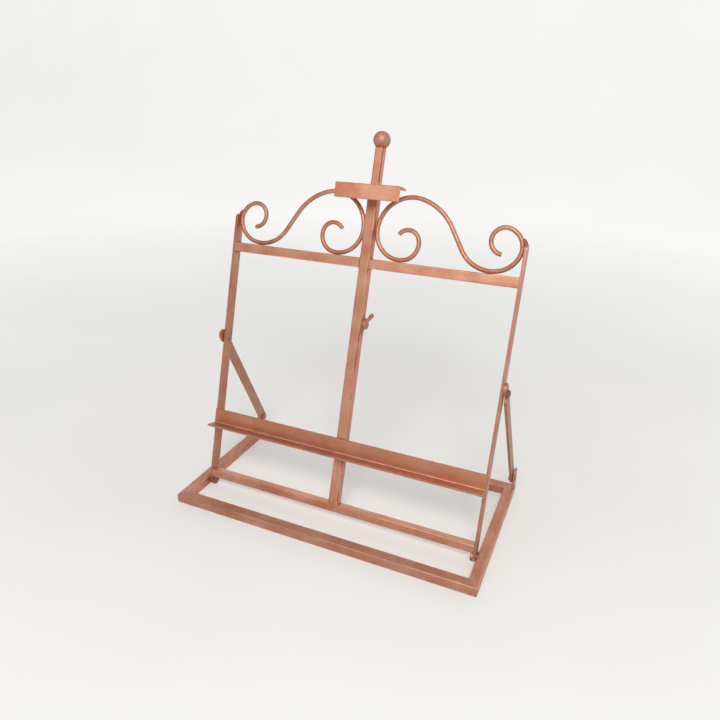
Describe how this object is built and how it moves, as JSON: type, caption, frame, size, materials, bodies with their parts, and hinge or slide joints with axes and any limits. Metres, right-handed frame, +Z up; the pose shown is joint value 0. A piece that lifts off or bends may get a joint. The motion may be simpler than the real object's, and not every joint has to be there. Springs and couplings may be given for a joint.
{
  "type": "tabletop display easel",
  "caption": "Copper-finished metal tabletop easel: rectangular base, tilting back frame with ledge and scrollwork, sliding mast with page clamp and ball finial, hooked struts.",
  "frame": {"origin": "middle of the base's footprint, on the table", "axes": "+X to the right as the viewer faces the easel's front, +Y from the front to the back, +Z up"},
  "size_m": [0.377, 0.197, 0.429],
  "materials": {
    "copper_tube": "satin",
    "copper_flat": "satin",
    "copper_wire": "satin",
    "copper_mast": "satin",
    "copper_fastener": "satin"
  },
  "bodies": {
    "base": {"base_front_bar": "copper_tube", "base_back_bar": "copper_tube", "base_left_bar": "copper_tube", "base_right_bar": "copper_tube", "left_strut_lug": "copper_flat", "right_strut_lug": "copper_flat", "spacer_washers": "copper_fastener", "strut_rivets": "copper_fastener"},
    "easel_frame": {"left_upright": "copper_flat", "right_upright": "copper_flat", "lower_crossbar": "copper_tube", "upper_crossbar_left": "copper_tube", "upper_crossbar_right": "copper_tube", "center_post": "copper_tube", "left_scroll": "copper_wire", "right_scroll": "copper_wire", "ledge_angle": "copper_flat", "pivot_bolts": "copper_fastener", "strut_studs": "copper_fastener", "stud_collars": "copper_fastener", "screw_boss": "copper_fastener"},
    "mast": {"slide_bar": "copper_mast", "ball_finial": "copper_mast", "clamp_angle": "copper_flat"},
    "mast_screw": {"screw_shank": "copper_fastener", "wing_handle": "copper_fastener"},
    "strut_left": {"left_strut": "copper_flat"},
    "strut_right": {"right_strut": "copper_flat"}
  },
  "joints": [
    {"name": "frame_fold", "type": "hinge", "parent": "base", "child": "easel_frame", "pos_m": [0, -0.0462, 0.006], "axis": [-1, 0, 0], "range_deg": [0, 60]},
    {"name": "left_strut_swing", "type": "hinge", "parent": "base", "child": "strut_left", "pos_m": [-0.1831, 0.0906, 0.026], "axis": [-1, 0, 0], "range_deg": [0, 117]},
    {"name": "right_strut_swing", "type": "hinge", "parent": "base", "child": "strut_right", "pos_m": [0.1831, 0.0906, 0.026], "axis": [-1, 0, 0], "range_deg": [0, 117]},
    {"name": "mast_slide", "type": "slide", "parent": "easel_frame", "child": "mast", "axis": [0, 0.289, 0.9573], "range_m": [0, 0.115]},
    {"name": "screw_turn", "type": "hinge", "parent": "easel_frame", "child": "mast_screw", "pos_m": [0.008, 0.02009, 0.22728], "axis": [1, 0, 0], "range_deg": [0, 720]}
  ],
  "couplings": [
    {"joint": "left_strut_swing", "follows": "frame_fold", "ratio": 1.95},
    {"joint": "right_strut_swing", "follows": "frame_fold", "ratio": 1.95}
  ]
}
